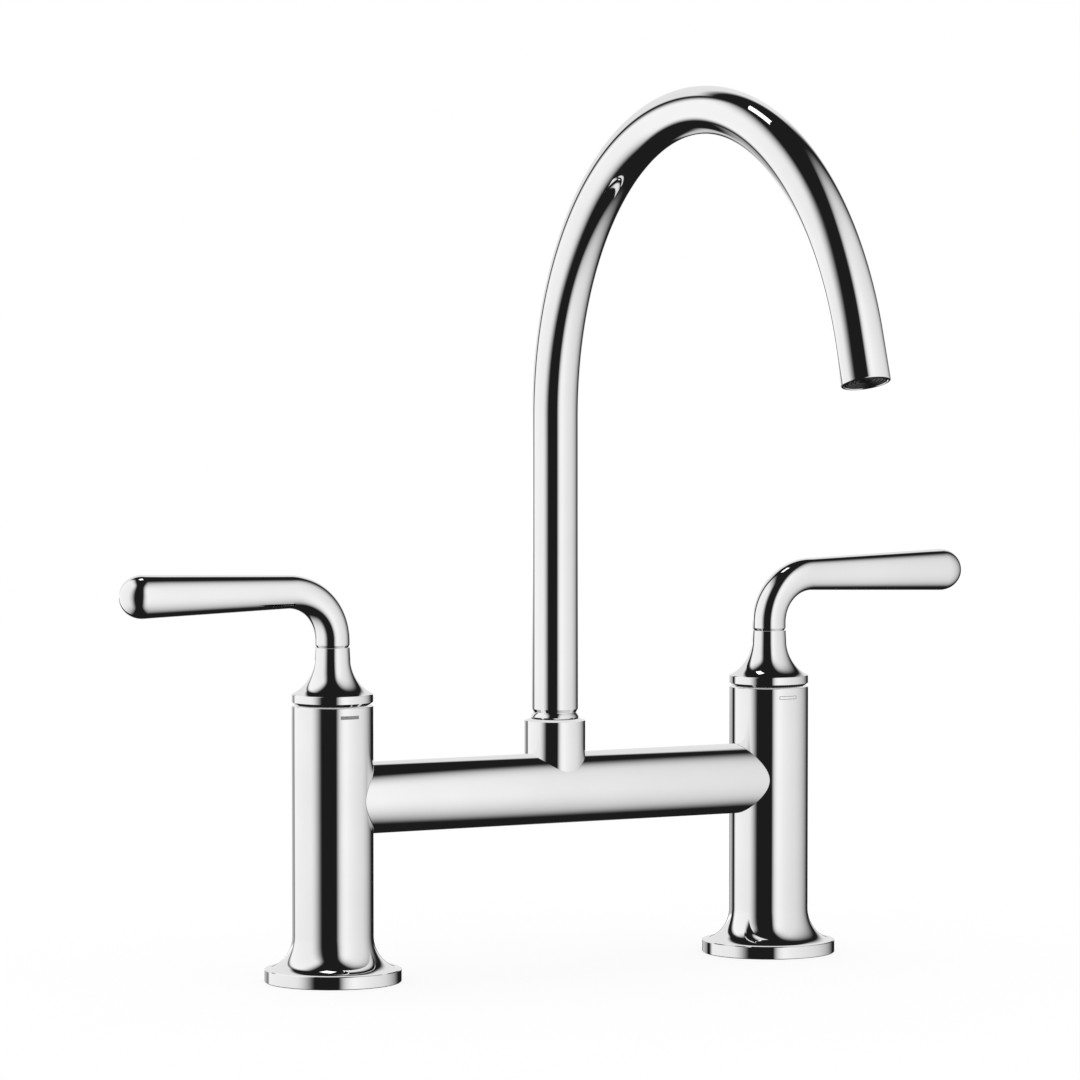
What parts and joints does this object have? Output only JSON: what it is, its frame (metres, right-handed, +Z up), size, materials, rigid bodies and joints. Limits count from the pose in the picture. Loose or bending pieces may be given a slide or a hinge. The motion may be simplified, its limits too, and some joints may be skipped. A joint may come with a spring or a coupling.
{
  "type": "bridge kitchen faucet",
  "caption": "Bridge kitchen faucet with two valve posts joined by a bridge tube, lever handles and a swivelling swan-neck spout.",
  "frame": {"origin": "on the worktop's surface, midway between the two posts, on the axis the spout swivels about", "axes": "+X along the bridge to the cold side, -Y towards the user, where the spout points at rest, +Z up"},
  "size_m": [0.3894, 0.2839, 0.4301],
  "materials": {
    "chrome_body": "polished",
    "chrome_handle": "polished",
    "chrome_spout": "polished",
    "brass_fitting": "machined",
    "steel_hardware": "brushed",
    "black_rubber": "matt",
    "white_plastic": "smooth",
    "grey_plastic": "smooth",
    "ceramic": "lapped"
  },
  "bodies": {
    "faucet_body": {"hot_post": "chrome_body", "hot_base_seal": "black_rubber", "hot_shank": "brass_fitting", "hot_deck_gasket": "black_rubber", "hot_deck_washer": "steel_hardware", "hot_deck_nut": "brass_fitting", "hot_bridge_nipple": "brass_fitting", "hot_nipple_seals": "black_rubber", "hot_cartridge_body": "brass_fitting", "hot_seat_seal": "black_rubber", "hot_fixed_disc": "ceramic", "hot_glide_ring": "white_plastic", "cold_post": "chrome_body", "cold_base_seal": "black_rubber", "cold_shank": "brass_fitting", "cold_deck_gasket": "black_rubber", "cold_deck_washer": "steel_hardware", "cold_deck_nut": "brass_fitting", "cold_bridge_nipple": "brass_fitting", "cold_nipple_seals": "black_rubber", "cold_cartridge_body": "brass_fitting", "cold_seat_seal": "black_rubber", "cold_fixed_disc": "ceramic", "cold_glide_ring": "white_plastic", "bridge_tube": "chrome_body", "spout_socket": "chrome_body", "thrust_ring": "white_plastic", "lock_screw": "steel_hardware"},
    "hot_handle": {"hot_moving_disc": "ceramic", "hot_spindle": "brass_fitting", "hot_spindle_seal": "black_rubber", "hot_spindle_clip": "steel_hardware", "hot_spline_adapter": "white_plastic", "hot_hub": "chrome_handle", "hot_hub_screw": "steel_hardware", "hot_lever_stud": "steel_hardware", "hot_lever": "chrome_handle"},
    "cold_handle": {"cold_moving_disc": "ceramic", "cold_spindle": "brass_fitting", "cold_spindle_seal": "black_rubber", "cold_spindle_clip": "steel_hardware", "cold_spline_adapter": "white_plastic", "cold_hub": "chrome_handle", "cold_hub_screw": "steel_hardware", "cold_lever_stud": "steel_hardware", "cold_lever": "chrome_handle"},
    "spout": {"spout_stem": "chrome_spout", "stem_seals": "black_rubber", "slide_ring": "white_plastic", "spout_tube": "chrome_spout", "aerator_housing": "chrome_spout", "aerator_seal": "black_rubber", "aerator_core": "grey_plastic"}
  },
  "joints": [
    {"name": "hot_valve", "type": "hinge", "parent": "faucet_body", "child": "hot_handle", "pos_m": [-0.1016, 0, 0.12], "axis": [0, 0, 1], "range_deg": [0, 90]},
    {"name": "cold_valve", "type": "hinge", "parent": "faucet_body", "child": "cold_handle", "pos_m": [0.1016, 0, 0.12], "axis": [0, 0, -1], "range_deg": [0, 90]},
    {"name": "spout_swivel", "type": "hinge", "parent": "faucet_body", "child": "spout", "pos_m": [0, 0, 0.1], "axis": [0, 0, 1], "continuous": true}
  ]
}
